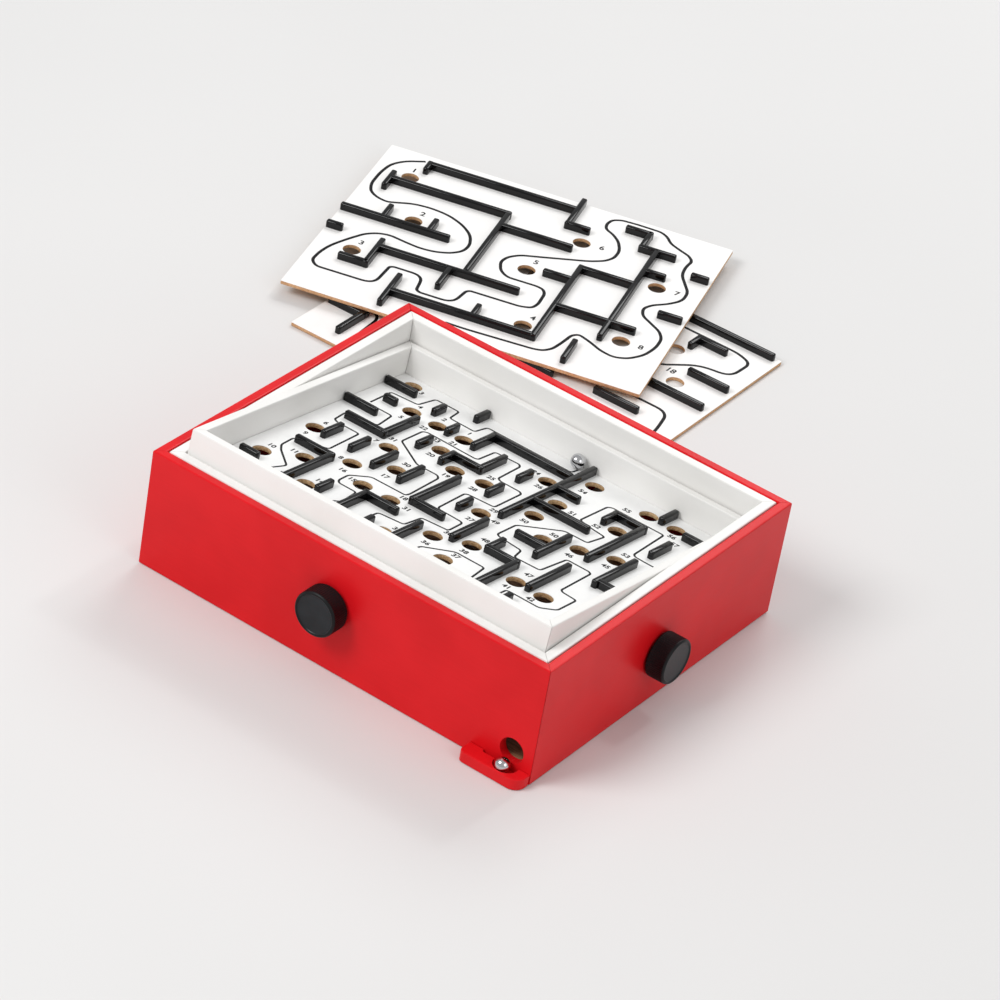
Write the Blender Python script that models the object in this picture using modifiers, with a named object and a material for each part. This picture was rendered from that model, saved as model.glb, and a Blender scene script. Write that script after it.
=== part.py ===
"""Tilt maze game: a red box with two nested tilting frames, a maze board, two knobs and two spare boards.

Frame of the part: metres, +Z up, origin at the centre of the box's underside.  +X runs along the long
sides, and the long front side, with its knob and the ball catcher, faces -Y.
"""
import math

import bmesh
import bpy
from mathutils import Euler, Matrix, Vector

MM = 0.001
GAP = 0.3 * MM

# ---- Driving dimensions -------------------------------------------------------------------------
BOX_L, BOX_W, BOX_H = 360 * MM, 310 * MM, 100 * MM
WALL = 7.5 * MM
SWING_GAP_X = 1.2 * MM            # box wall to outer frame, short sides
SWING_GAP_Y = 0.8 * MM            # box wall to outer frame, long sides
OUTER_RAIL = 8.0 * MM
OUTER_DEPTH = 26 * MM
INNER_GAP_X = 1.0 * MM
INNER_GAP_Y = 1.7 * MM
INNER_RAIL = 7.2 * MM
INNER_DEPTH = 28 * MM
EDGE_ROUND = 1.0 * MM

HINGE_Z = 88 * MM
REST_TILT = math.radians(8.0)     # inner frame, front side up
PIN_R = 2.0 * MM
PIN_FIT = GAP

MAZE_DROP = 23 * MM               # frame top down to the maze's white face
FACE_T = 0.5 * MM
PANEL_T = 3.2 * MM
HOLE_R = 7.6 * MM
STRIP_W = 5.0 * MM                # maze walls
STRIP_H = 6.5 * MM
STRIP_SINK = 0.3 * MM
COLUMN_PITCH = 25.2 * MM
COLUMN_SHIFT = 1.0 * MM
BALL_R = 6.0 * MM

SHAFT_R = 2.5 * MM
KNOB_R = 18.5 * MM
KNOB_T = 16 * MM
FRONT_SHAFT_X, FRONT_SHAFT_Z = -9 * MM, 54 * MM
SIDE_SHAFT_Y, SIDE_SHAFT_Z = -6 * MM, 43 * MM
BUSH_R = 4.1 * MM
BUSH_FLANGE_R = 6.5 * MM
BUSH_FLANGE_T = 1.0 * MM

BASE_T = 3 * MM
RAMP_T = 3 * MM
RAMP_LOW_Z = 10.2 * MM            # top of the ramp at its lowest corner, by the outlet
RAMP_RISE_X = 9.6 * MM
RAMP_RISE_Y = 8.2 * MM

OUTLET_X, OUTLET_Z, OUTLET_R = 161 * MM, 20.5 * MM, 10.3 * MM
CATCHER_X0, CATCHER_X1 = 126.5 * MM, 179.5 * MM
CATCHER_D, CATCHER_H = 14.3 * MM, 9.2 * MM

STRING_R = 0.45 * MM
PEG_R = 3.0 * MM
STRING_TURNS = 3

# ---- Maze layout, in millimetres on the board: +x right, +y to the back -------------------------
# Upright strips: column number, then where the strip starts and ends.
COLUMN_STRIPS = [
    (-5, -20, 5.5), (-4, 89.5, 106), (-4, 21.8, 70), (-4, -19.5, 6.5), (-4, -112, -39.8), (-3, 111, 129.6),
    (-3, 71.5, 88), (-3, 33, 53), (-3, -25.5, 7.5), (-3, -94.5, -74.5), (-2, 71, 103.5), (-2, 28, 48.7),
    (-2, -26, 7), (-2, -110, -63.8), (-1, 43.3, 80.5), (-1, -44.2, 19.5), (-1, -129.6, -91.5), (0, 59.5, 80),
    (0, 18.5, 40.5), (0, -19.5, -0.5), (0, -112, -65), (1, 0.5, 129.6), (1, -63, -15.5), (2, -53.2, -29.5),
    (3, 64.5, 85.7), (3, -27, 21), (3, -115, -47.8), (4, 106.5, 129.6), (4, 4.5, 85.7), (4, -73, -17),
    (4, -129.6, -93), (5, 53.5, 82), (5, -23, 34.5)]
# Cross strips: start and end, then the strip's middle line.
CROSS_STRIPS = [
    (-154.8, -124.6, 102), (-137, -124.5, 76), (-52.1, 24, 100.8), (26, 48, 76), (26, 79, 43),
    (73.9, 104.5, 83), (124.3, 154.8, 103.5), (127, 154.8, -18), (-136, -97.1, 24.5), (-154.8, -123.6, 48.5),
    (-52.1, -21.5, 46),
    (-26.9, 5, -41.5), (48.5, 77, -11), (48.7, 79.3, -50.5), (-133, -97.1, -42.5), (-52.1, -19.5, -66.5),
    (-147, -129.5, -93), (27.5, 54, -107)]
# Holes: the column they follow (a half lies between two columns), then y.
HOLES = [
    (-5.5, 116), (-5.5, -11), (-5.5, -78), (-4.5, 80), (-4.5, -57), (-4.5, -108), (-3.5, 79.5), (-3.5, 15),
    (-3.5, -31.5), (-3.5, -90), (-2.5, 79.5), (-2.5, 49), (-2.5, -9), (-2.5, -52), (-1.5, 32), (-1.5, -51.5),
    (-1.5, -104), (-0.5, 35.5), (-0.5, -96), (0.5, 84), (0.5, -5), (0.5, -67), (1.5, 111.5), (1.5, 60.5),
    (1.5, 29), (1.5, -52.5), (1.5, -89.5), (2.5, 4), (2.5, -104), (3.5, 111), (3.5, 67.5), (3.5, 16),
    (3.5, -67.5), (4.5, 111), (4.5, 28), (4.5, -68.5)]

# The spare boards: upright strips (x, start, end), cross strips (start, end, y) and holes (x, y).
UPPER_UPRIGHTS = [
    (-113.3, 98, 113.2), (20.8, 81.3, 129.6), (-134.8, 54, 81), (-27.8, -38, 72.7), (-117.2, 5, 27),
    (-76.2, 5, 26), (-103.8, -73.2, -29), (-40.2, -72, -41), (-72.2, -122, -73), (0.2, -100, -81),
    (53.2, -102.7, 24.7), (100.8, -72, 84), (87.2, 83, 109.7), (85.8, -121, -88)]
UPPER_CROSSES = [
    (-116, 21, 110.5), (18, 41, 84), (-135, -25, 70), (-28, 37, 49), (-155, -57, 5), (-155, -140, -28),
    (-104, 21, -41), (-128, -101, -70.5), (-72, 55.9, -100), (53, 101, 22), (27.5, 53, 0), (53, 124, -46),
    (84.5, 118, 83), (65.5, 89.9, 107), (100, 120, 48), (137, 153, 64), (131, 152.5, -9)]
UPPER_HOLES = [(-122, 86), (-94.5, 20), (-122.5, -52), (39.5, -84), (13.5, 0), (39.5, 67.5), (117, 34.5),
               (117, -62)]
LOWER_UPRIGHTS = [
    (91.5, 86, 103.5), (-119.5, -116, -74), (-60, 20, 100), (0, -104, -33.5), (42, -25, 20), (-30, -30, 22),
    (-96, -40, 30), (20, 48, 96)]
LOWER_CROSSES = [
    (20, 150, 125), (89, 119, 101), (111, 150, 54), (96, 150, 16), (73, 116, -28), (-153, -117, -81),
    (-2.5, 38, -36), (-100, -57, 60), (-62, 45, 20), (-90, -20, -62), (60, 130, -100)]
LOWER_HOLES = [(84, 78), (111, 35), (-132, 50), (-84, 92), (-16, 60), (-66, -20), (-60, -96), (24, -72),
               (124, -66)]
UPPER_PLACE = (-235 * MM, 389 * MM, math.radians(16.8))     # middle x, middle y, turn about +Z
LOWER_PLACE = (-158 * MM, 324 * MM, math.radians(1.4))
SPARE_HALF = (155.0 * MM, 129.8 * MM)

# ---- Worked-out sizes ---------------------------------------------------------------------------
OUTER_X = BOX_L / 2 - WALL - SWING_GAP_X
OUTER_Y = BOX_W / 2 - WALL - SWING_GAP_Y
INNER_X = OUTER_X - OUTER_RAIL - INNER_GAP_X
INNER_Y = OUTER_Y - OUTER_RAIL - INNER_GAP_Y
BOARD_X = INNER_X - INNER_RAIL - GAP
BOARD_Y = INNER_Y - INNER_RAIL - GAP
FACE_TOP = BOX_H - MAZE_DROP
PANEL_TOP = FACE_TOP - FACE_T - GAP

RED = ("red paint", (0.62, 0.02, 0.025), 0.38, 0.0)
WHITE = ("white paint", (0.86, 0.85, 0.82), 0.42, 0.0)
WOOD = ("bare fibreboard", (0.45, 0.29, 0.15), 0.7, 0.0)
PRINT = ("white printed face", (0.88, 0.88, 0.86), 0.5, 0.0)
BLACK = ("black knob plastic", (0.012, 0.013, 0.015), 0.45, 0.0)
STEEL = ("bright steel", (0.62, 0.62, 0.63), 0.22, 1.0)
BALL = ("polished ball steel", (0.72, 0.72, 0.73), 0.08, 1.0)
NYLON = ("natural nylon", (0.8, 0.78, 0.7), 0.5, 0.0)
STRING = ("waxed string", (0.55, 0.5, 0.4), 0.8, 0.0)
SPARE = ("spare board", (0.85, 0.84, 0.8), 0.5, 0.0)

for old in list(bpy.data.objects):
    bpy.data.objects.remove(old, do_unlink=True)


def new_collection(name):
    made = bpy.data.collections.new(name)
    bpy.context.scene.collection.children.link(made)
    return made


PARTS = new_collection("tilt_maze_game")
CUTTERS = new_collection("cutters")
BODY_AXES = new_collection("joint_axes")


def material(finish):
    name, colour, roughness, metallic = finish
    made = bpy.data.materials.get(name)
    if made is None:
        made = bpy.data.materials.new(name)
        made.use_nodes = True
        shader = made.node_tree.nodes["Principled BSDF"]
        shader.inputs["Base Color"].default_value = (*colour, 1.0)
        shader.inputs["Roughness"].default_value = roughness
        shader.inputs["Metallic"].default_value = metallic
        made.diffuse_color = (*colour, 1.0)
    return made


def add_mesh(name, bm, finish=None, home=PARTS, parent=None, smooth=False):
    """Turn a bmesh into an object, with its places measured in its parent's own axes."""
    mesh = bpy.data.meshes.new(name)
    bmesh.ops.recalc_face_normals(bm, faces=bm.faces)
    bm.to_mesh(mesh)
    bm.free()
    if smooth:
        mesh.shade_smooth()
        mesh.set_sharp_from_angle(angle=math.radians(40))
    made = bpy.data.objects.new(name, mesh)
    home.objects.link(made)
    if finish:
        mesh.materials.append(material(finish))
    made.parent = parent
    return made


def joint_axis(name, place, parent=None, turn=(0.0, 0.0, 0.0)):
    made = bpy.data.objects.new(name, None)
    made.empty_display_size = 0.02
    BODY_AXES.objects.link(made)
    made.parent = parent
    made.location = place
    made.rotation_euler = turn
    return made


def box_mesh(low, high):
    bm = bmesh.new()
    bmesh.ops.create_cube(bm, size=1.0)
    size = [b - a for a, b in zip(low, high)]
    middle = [(a + b) / 2 for a, b in zip(low, high)]
    bmesh.ops.scale(bm, vec=size, verts=bm.verts)
    bmesh.ops.translate(bm, vec=middle, verts=bm.verts)
    return bm


def add_box(name, low, high, finish, parent=None):
    return add_mesh(name, box_mesh(low, high), finish, parent=parent)


def rod_mesh(start, end, radius, sides=16):
    start, end = Vector(start), Vector(end)
    bm = bmesh.new()
    bmesh.ops.create_cone(bm, cap_ends=True, segments=sides, radius1=radius, radius2=radius,
                          depth=(end - start).length)
    turn = Vector((0, 0, 1)).rotation_difference((end - start).normalized()).to_matrix().to_4x4()
    bmesh.ops.transform(bm, matrix=Matrix.Translation((start + end) / 2) @ turn, verts=bm.verts)
    return bm


def add_rod(name, start, end, radius, finish, parent=None, sides=16):
    return add_mesh(name, rod_mesh(start, end, radius, sides), finish, parent=parent, smooth=True)


def make_cutter(made):
    made.hide_render = True
    made.display_type = "WIRE"
    return made


def cut_rod(target, start, end, radius, parent=None, sides=20):
    """Bore a round hole with a cylinder that runs from start to end."""
    bm = rod_mesh(start, end, radius, sides)
    cutter = make_cutter(add_mesh(target.name + "_bore", bm, home=CUTTERS, parent=parent))
    boolean(target, cutter)


def boolean(target, other, operation="DIFFERENCE"):
    step = target.modifiers.new("cut" if operation == "DIFFERENCE" else "join", "BOOLEAN")
    step.operation = operation
    step.solver = "EXACT"
    if isinstance(other, bpy.types.Collection):
        step.operand_type = "COLLECTION"
        step.collection = other
    else:
        step.object = other


def add_turned(name, profile, place, toward, finish, parent=None, steps=32):
    """Spin a profile of (radius, height) points about the line that leaves place toward a direction."""
    bm = bmesh.new()
    verts = [bm.verts.new((r, 0.0, h)) for r, h in profile]
    for a, b in zip(verts, verts[1:]):
        bm.edges.new((a, b))
    mesh = bpy.data.meshes.new(name)
    bm.to_mesh(mesh)
    bm.free()
    mesh.materials.append(material(finish))
    made = bpy.data.objects.new(name, mesh)
    PARTS.objects.link(made)
    made.parent = parent
    made.location = place
    made.rotation_euler = Vector((0, 0, 1)).rotation_difference(Vector(toward)).to_euler()
    spin = made.modifiers.new("spin", "SCREW")
    spin.steps = spin.render_steps = steps
    spin.use_merge_vertices = True
    spin.merge_threshold = 0.00001
    spin.use_smooth_shade = True
    return made


# ---- Mitred rails: the box's walls and both frames ----------------------------------------------
def add_rail(name, half_length, half_offset, thickness, low, high, quarter_turns, finish, parent=None):
    """One side of a rectangular frame with mitred ends.  Zero turns is the front side."""
    mitre = GAP / math.sqrt(2)
    bm = box_mesh((-half_length, -half_offset, low), (half_length, -half_offset + thickness, high))
    for vert in bm.verts:
        inside = vert.co.y > -half_offset + thickness / 2
        reach = half_length - mitre - (thickness if inside else 0.0)
        vert.co.x = math.copysign(reach, vert.co.x)
    weight = bm.edges.layers.float.new("bevel_weight_edge")
    for edge in bm.edges:
        run = edge.verts[0].co - edge.verts[1].co
        edge[weight] = 1.0 if abs(run.x) > half_length else 0.0
    bmesh.ops.rotate(bm, matrix=Matrix.Rotation(quarter_turns * math.pi / 2, 3, "Z"), verts=bm.verts)
    made = add_mesh(name, bm, finish, parent=parent)
    rounding = made.modifiers.new("round edges", "BEVEL")
    rounding.limit_method = "WEIGHT"
    rounding.width = EDGE_ROUND
    rounding.segments = 2
    return made


def add_frame(prefix, suffix, half_x, half_y, thickness, low, high, finish, parent=None):
    sides = ("front", "right", "back", "left")
    rails = {}
    for turns, side in enumerate(sides):
        along, across = (half_x, half_y) if turns % 2 == 0 else (half_y, half_x)
        name = f"{prefix}{side}{suffix}"
        rails[side] = add_rail(name, along, across, thickness, low, high, turns, finish, parent)
    return rails


outer_axis = joint_axis("outer_frame_axis", (0.0, 0.0, HINGE_Z))
inner_axis = joint_axis("inner_frame_axis", (0.0, 0.0, 0.0), outer_axis, (-REST_TILT, 0.0, 0.0))
LEVEL = Vector((0, 0, -HINGE_Z))       # takes a height above the table to a height from the hinges


def level(x, y, z):
    return Vector((x, y, z)) + LEVEL


walls = add_frame("", "_wall", BOX_L / 2, BOX_W / 2, WALL, 0.0, BOX_H, RED)
outer = add_frame("outer_", "_rail", OUTER_X, OUTER_Y, OUTER_RAIL, BOX_H - OUTER_DEPTH - HINGE_Z,
                  BOX_H - HINGE_Z, WHITE, outer_axis)
inner = add_frame("inner_", "_rail", INNER_X, INNER_Y, INNER_RAIL, BOX_H - INNER_DEPTH - HINGE_Z,
                  BOX_H - HINGE_Z, WHITE, inner_axis)


# ---- Pivot pins ---------------------------------------------------------------------------------
PIN_SEAT = 4.0 * MM                    # how far a pin's ends sit in the wood


def add_pivot(name, direction, wall, rail, wall_face, rail_face, wall_parent, rail_parent, drop):
    """A pin between a fixed side and the side that swings on it, each bored blind."""
    direction = Vector(direction)
    start = direction * (wall_face + PIN_SEAT) + Vector((0, 0, drop))
    end = direction * (rail_face - PIN_SEAT) + Vector((0, 0, drop))
    add_rod(name, start, end, PIN_R, STEEL, wall_parent, sides=12)
    hole = PIN_R + PIN_FIT
    cut_rod(wall, start + direction * GAP, direction * (wall_face - MM) + Vector((0, 0, drop)), hole,
            wall_parent)
    cut_rod(rail, direction * (rail_face + MM) + Vector((0, 0, drop)), end - direction * GAP, hole,
            rail_parent)


box_inner_y = BOX_W / 2 - WALL
add_pivot("front_pivot_pin", (0, -1, 0), walls["front"], outer["front"], box_inner_y, OUTER_Y, None, None,
          HINGE_Z)
add_pivot("back_pivot_pin", (0, 1, 0), walls["back"], outer["back"], box_inner_y, OUTER_Y, None, None,
          HINGE_Z)
outer_inner_x = OUTER_X - OUTER_RAIL
add_pivot("left_pivot_pin", (-1, 0, 0), outer["left"], inner["left"], outer_inner_x, INNER_X, outer_axis,
          outer_axis, 0)
add_pivot("right_pivot_pin", (1, 0, 0), outer["right"], inner["right"], outer_inner_x, INNER_X,
          outer_axis, outer_axis, 0)


# ---- Base, ramp and its battens -----------------------------------------------------------------
room_x, room_y = BOX_L / 2 - WALL - GAP, BOX_W / 2 - WALL - GAP
add_box("base_panel", (-room_x, -room_y, 0.0), (room_x, room_y, BASE_T), WOOD)


def ramp_top(x, y):
    """The ramp falls to the right and to the front, towards the outlet."""
    return RAMP_LOW_Z + RAMP_RISE_X * (room_x - x) / (2 * room_x) + RAMP_RISE_Y * (y + room_y) / (2 * room_y)


def sloped_block(name, low, high, top_gap, bottom, finish):
    """A block whose top follows the ramp, and whose bottom does too where bottom is None."""
    bm = box_mesh((low[0], low[1], 0.0), (high[0], high[1], 1.0))
    for vert in bm.verts:
        slope = ramp_top(vert.co.x, vert.co.y)
        if vert.co.z > 0.5:
            vert.co.z = slope - top_gap
        else:
            vert.co.z = slope - RAMP_T if bottom is None else bottom
    return add_mesh(name, bm, finish)


sloped_block("ball_ramp", (-room_x, -room_y), (room_x, room_y), 0.0, None, WOOD)
BATTEN_W = 12 * MM
for batten, x in (("left_ramp_batten", -150 * MM), ("middle_ramp_batten", 0.0),
                  ("right_ramp_batten", 150 * MM)):
    sloped_block(batten, (x - BATTEN_W / 2, -room_y + 6 * MM), (x + BATTEN_W / 2, room_y - 6 * MM),
                 RAMP_T + GAP, BASE_T + GAP, WOOD)


# ---- Outlet and ball catcher --------------------------------------------------------------------
cut_rod(walls["front"], (OUTLET_X, -BOX_W / 2 - MM, OUTLET_Z), (OUTLET_X, -box_inner_y + MM, OUTLET_Z),
        OUTLET_R, sides=28)


def arc(centre, radius, start_deg, end_deg, steps):
    turns = [math.radians(start_deg + (end_deg - start_deg) * i / steps) for i in range(steps + 1)]
    return [(centre[0] + radius * math.cos(a), centre[1] + radius * math.sin(a)) for a in turns]


def outline_prism(outline, low, high):
    """A flat outline, filled, with straight sides."""
    bm = bmesh.new()
    face = bm.faces.new([bm.verts.new((x, y, low)) for x, y in outline])
    lifted = bmesh.ops.extrude_face_region(bm, geom=[face])
    verts = [item for item in lifted["geom"] if isinstance(item, bmesh.types.BMVert)]
    bmesh.ops.translate(bm, vec=(0, 0, high - low), verts=verts)
    return bm


def catcher_outline():
    back = -BOX_W / 2 - GAP
    front = -BOX_W / 2 - CATCHER_D
    small, large = 4.5 * MM, 9.5 * MM
    return ([(CATCHER_X0, back)] + arc((CATCHER_X0 + small, front + small), small, 180, 270, 5)
            + arc((CATCHER_X1 - large, front + large), large, 270, 360, 8) + [(CATCHER_X1, back)])


POCKET_R = 10.0 * MM
POCKET_X, POCKET_Y = 160.4 * MM, -BOX_W / 2 - 2.9 * MM
POCKET_FLOOR = 3.8 * MM
GROOVE_FLOOR = 5.8 * MM
GROOVE_X0 = 139 * MM
GROOVE_D = 3.2 * MM


def ball_pocket_outline():
    back = -BOX_W / 2 + MM
    half = math.degrees(math.asin((back - POCKET_Y) / POCKET_R))
    return arc((POCKET_X, POCKET_Y), POCKET_R, 180 - half, 360 + half, 20)


def groove_outline():
    back, front = -BOX_W / 2 + MM, -BOX_W / 2 - GROOVE_D
    round_r = 2.2 * MM
    return [(GROOVE_X0, back)] + arc((GROOVE_X0 + round_r, front + round_r), round_r, 180, 270, 4) + [
        (OUTLET_X, front), (OUTLET_X, back)]


catcher = add_mesh("ball_catcher", outline_prism(catcher_outline(), 0.0, CATCHER_H), RED)
edge_round = catcher.modifiers.new("round edges", "BEVEL")
edge_round.limit_method = "ANGLE"
edge_round.angle_limit = math.radians(50)
edge_round.width = 0.7 * MM
edge_round.segments = 2
for label, outline, floor in (("pocket", ball_pocket_outline(), POCKET_FLOOR),
                              ("groove", groove_outline(), GROOVE_FLOOR)):
    cutter = add_mesh("catcher_" + label, outline_prism(outline, floor, CATCHER_H + MM), home=CUTTERS)
    boolean(catcher, make_cutter(cutter))


# ---- Maze boards --------------------------------------------------------------------------------
def column(number):
    return COLUMN_SHIFT + COLUMN_PITCH * number


def strip_boxes(uprights, crosses, bottom, top):
    """The low and high corners of each maze wall."""
    half = STRIP_W / 2
    for x, start, end in uprights:
        yield (x - half, start, bottom), (x + half, end, top)
    for start, end, y in crosses:
        yield (start, y - half, bottom), (end, y + half, top)


def join_strips(board, uprights, crosses, bottom, top, parent, place):
    group = bpy.data.collections.new(board.name + "_strips")
    CUTTERS.children.link(group)
    for low, high in strip_boxes(uprights, crosses, bottom, top):
        bm = box_mesh(low, high)
        strip = make_cutter(add_mesh(board.name + "_strip", bm, home=group, parent=parent))
        strip.matrix_basis = place
    boolean(board, group, "UNION")


def drill_board(board, holes, bottom, top, parent, place, radius=HOLE_R):
    group = bpy.data.collections.new(board.name + "_drills")
    CUTTERS.children.link(group)
    for x, y in holes:
        bm = rod_mesh((x, y, bottom - MM), (x, y, top + MM), radius, sides=14)
        drill = make_cutter(add_mesh(board.name + "_drill", bm, home=group, parent=parent))
        drill.matrix_basis = place
    boolean(board, group)


def in_mm(rows):
    return [tuple(value * MM for value in row) for row in rows]


maze_holes = [(column(number), y * MM) for number, y in HOLES]
maze_uprights = [(column(number), start * MM, end * MM) for number, start, end in COLUMN_STRIPS]
level_place = Matrix.Identity(4)
panel_low = PANEL_TOP - PANEL_T - HINGE_Z
panel_high = PANEL_TOP - HINGE_Z
face_low, face_high = FACE_TOP - FACE_T - HINGE_Z, FACE_TOP - HINGE_Z

maze_panel = add_box("maze_panel", (-BOARD_X, -BOARD_Y, panel_low), (BOARD_X, BOARD_Y, panel_high), WOOD,
                     inner_axis)
drill_board(maze_panel, maze_holes, panel_low, panel_high, inner_axis, level_place)
maze_face = add_box("maze_face", (-BOARD_X, -BOARD_Y, face_low), (BOARD_X, BOARD_Y, face_high), PRINT,
                    inner_axis)
join_strips(maze_face, maze_uprights, in_mm(CROSS_STRIPS), face_high - STRIP_SINK, face_high + STRIP_H,
            inner_axis, level_place)
drill_board(maze_face, maze_holes, face_low, face_high, inner_axis, level_place)

LEDGE = 9 * MM
LEDGE_T = 3 * MM
for side_x, side_y, corner in ((-1, -1, "front_left"), (1, -1, "front_right"), (1, 1, "back_right"),
                               (-1, 1, "back_left")):
    xs = sorted((side_x * BOARD_X, side_x * (BOARD_X - LEDGE)))
    ys = sorted((side_y * BOARD_Y, side_y * (BOARD_Y - LEDGE)))
    high = panel_low - GAP
    add_box(f"board_ledge_{corner}", (xs[0], ys[0], high - LEDGE_T), (xs[1], ys[1], high), WOOD, inner_axis)


def add_spare_board(name, uprights, crosses, holes, place, bottom):
    middle_x, middle_y, turn = place
    matrix = Matrix.Translation((middle_x, middle_y, bottom)) @ Matrix.Rotation(turn, 4, "Z")
    half_x, half_y = SPARE_HALF
    board = add_box(name, (-half_x, -half_y, 0.0), (half_x, half_y, PANEL_T), SPARE)
    board.matrix_basis = matrix
    join_strips(board, in_mm(uprights), in_mm(crosses), PANEL_T - STRIP_SINK, PANEL_T + STRIP_H, None,
                matrix)
    drill_board(board, in_mm(holes), 0.0, PANEL_T, None, matrix)
    return board


lower_top = PANEL_T + STRIP_H
add_spare_board("spare_board_lower", LOWER_UPRIGHTS, LOWER_CROSSES, LOWER_HOLES, LOWER_PLACE, 0.0)
add_spare_board("spare_board_upper", UPPER_UPRIGHTS, UPPER_CROSSES, UPPER_HOLES, UPPER_PLACE,
                lower_top + GAP)


# ---- Knobs, shafts and bushes -------------------------------------------------------------------
def knob_profile():
    """From the middle of the front face, round the rim, to the back and up the blind bore."""
    bore, bore_end = SHAFT_R + GAP, 11 * MM
    rim, back = 1.6 * MM, 0.8 * MM
    return [(0.0, KNOB_T - 0.5 * MM), (KNOB_R - 3.4 * MM, KNOB_T - 0.5 * MM), (KNOB_R - 2.4 * MM, KNOB_T),
            (KNOB_R - rim, KNOB_T), (KNOB_R - 0.4 * MM, KNOB_T - 0.5 * MM), (KNOB_R, KNOB_T - rim),
            (KNOB_R, back), (KNOB_R - back, 0.0), (bore, 0.0), (bore, bore_end), (0.0, bore_end)]


def bush_profile(length):
    hole = SHAFT_R + GAP
    return [(BUSH_FLANGE_R, BUSH_FLANGE_T), (BUSH_FLANGE_R, 0.0), (BUSH_R, 0.0), (BUSH_R, -length),
            (hole, -length), (hole, BUSH_FLANGE_T), (BUSH_FLANGE_R, BUSH_FLANGE_T)]


def ring_profile(inner_r, outer_r, width):
    return [(outer_r, width), (outer_r, 0.0), (inner_r, 0.0), (inner_r, width), (outer_r, width)]


def add_drive(prefix, place, outward, wall, reach):
    """A knob, its shaft, the flanged bush in the wall and a collar behind the wall."""
    outward = Vector(outward)
    axis = joint_axis(prefix + "_knob_axis", place)
    flange_start = GAP
    knob_back = flange_start + BUSH_FLANGE_T + GAP
    shaft_out = knob_back + 10 * MM
    add_turned(prefix + "_bush", bush_profile(WALL), Vector(place) + outward * flange_start, outward,
               NYLON, steps=20)
    add_turned(prefix + "_knob", knob_profile(), outward * knob_back, outward, BLACK, axis)
    add_rod(prefix + "_shaft", outward * shaft_out, outward * -reach, SHAFT_R, STEEL, axis)
    cut_rod(wall, Vector(place) + outward * 2 * MM, Vector(place) - outward * (WALL + 2 * MM), BUSH_R + GAP)
    return axis


COLLAR_W = 4 * MM
front_axis = add_drive("front", (FRONT_SHAFT_X, -BOX_W / 2, FRONT_SHAFT_Z), (0, -1, 0), walls["front"],
                       61 * MM)
side_axis = add_drive("side", (BOX_L / 2, SIDE_SHAFT_Y, SIDE_SHAFT_Z), (1, 0, 0), walls["right"], 356 * MM)
collar = ring_profile(SHAFT_R + GAP, 5.5 * MM, COLLAR_W)
add_turned("front_collar", collar, (0, 19 * MM, 0), (0, -1, 0), STEEL, front_axis, steps=20)
add_turned("side_collar", collar, (-15 * MM, 0, 0), (1, 0, 0), STEEL, side_axis, steps=20)

# The side shaft's far end runs in a blind bush in the left wall.
far_face = -(BOX_L / 2 - WALL)
seat = 5 * MM
cut_rod(walls["left"], (far_face + MM, SIDE_SHAFT_Y, SIDE_SHAFT_Z),
        (far_face - seat - GAP, SIDE_SHAFT_Y, SIDE_SHAFT_Z), BUSH_R + GAP)
add_turned("far_bush", bush_profile(seat), (far_face + GAP, SIDE_SHAFT_Y, SIDE_SHAFT_Z), (1, 0, 0), NYLON,
           steps=20)

# The front shaft's inner end runs in a post that stands on the ramp.
POST_Y = -100 * MM
POST_HALF = (7 * MM, 5 * MM)
post_foot = ramp_top(FRONT_SHAFT_X - POST_HALF[0], POST_Y + POST_HALF[1]) + GAP
post = add_box("shaft_post", (FRONT_SHAFT_X - POST_HALF[0], POST_Y - POST_HALF[1], post_foot),
               (FRONT_SHAFT_X + POST_HALF[0], POST_Y + POST_HALF[1], FRONT_SHAFT_Z + 6 * MM), WOOD)
cut_rod(post, (FRONT_SHAFT_X, POST_Y - 9 * MM, FRONT_SHAFT_Z),
        (FRONT_SHAFT_X, POST_Y + 9 * MM, FRONT_SHAFT_Z), SHAFT_R + GAP)


# ---- Strings, their pegs, springs and anchors ---------------------------------------------------
WRAP_R = STRING_R + GAP
PEG_Z = 35 * MM


def wound_string(drum_u, drum_z, peg_us, start_w, end_zs):
    """Points (u, w, z) from one end, round a peg, round the shaft, round the other peg and up."""
    peg_wrap, drum_wrap = PEG_R + WRAP_R, SHAFT_R + WRAP_R
    pitch = 1.3 * MM
    left_u, right_u = peg_us
    rise = math.atan2(drum_z - PEG_Z, drum_u - left_u)
    fall = math.atan2(drum_z - PEG_Z, right_u - drum_u)
    points = [(left_u - peg_wrap, start_w, end_zs[0])]
    for i in range(4):
        turn = math.radians(180) + (math.radians(90) + rise) * i / 3
        points.append((left_u + peg_wrap * math.cos(turn), start_w, PEG_Z + peg_wrap * math.sin(turn)))
    sweep = 2 * math.pi * STRING_TURNS - rise - fall
    steps = 10 * STRING_TURNS
    for i in range(steps + 1):
        turn = math.radians(-90) + rise + sweep * i / steps
        w = start_w + pitch * STRING_TURNS * i / steps
        points.append((drum_u + drum_wrap * math.cos(turn), w, drum_z + drum_wrap * math.sin(turn)))
    end_w = start_w + pitch * STRING_TURNS
    for i in range(4):
        turn = math.radians(-90) - fall + (math.radians(90) + fall) * i / 3
        points.append((right_u + peg_wrap * math.cos(turn), end_w, PEG_Z + peg_wrap * math.sin(turn)))
    points.append((right_u + peg_wrap, end_w, end_zs[1]))
    return points


def add_string(name, points):
    curve = bpy.data.curves.new(name, "CURVE")
    curve.dimensions = "3D"
    curve.bevel_depth = STRING_R
    curve.bevel_resolution = 1
    curve.use_fill_caps = True
    curve.materials.append(material(STRING))
    line = curve.splines.new("POLY")
    line.points.add(len(points) - 1)
    for knot, point in zip(line.points, points):
        knot.co = (*point, 1.0)
    made = bpy.data.objects.new(name, curve)
    PARTS.objects.link(made)
    return made


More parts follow.
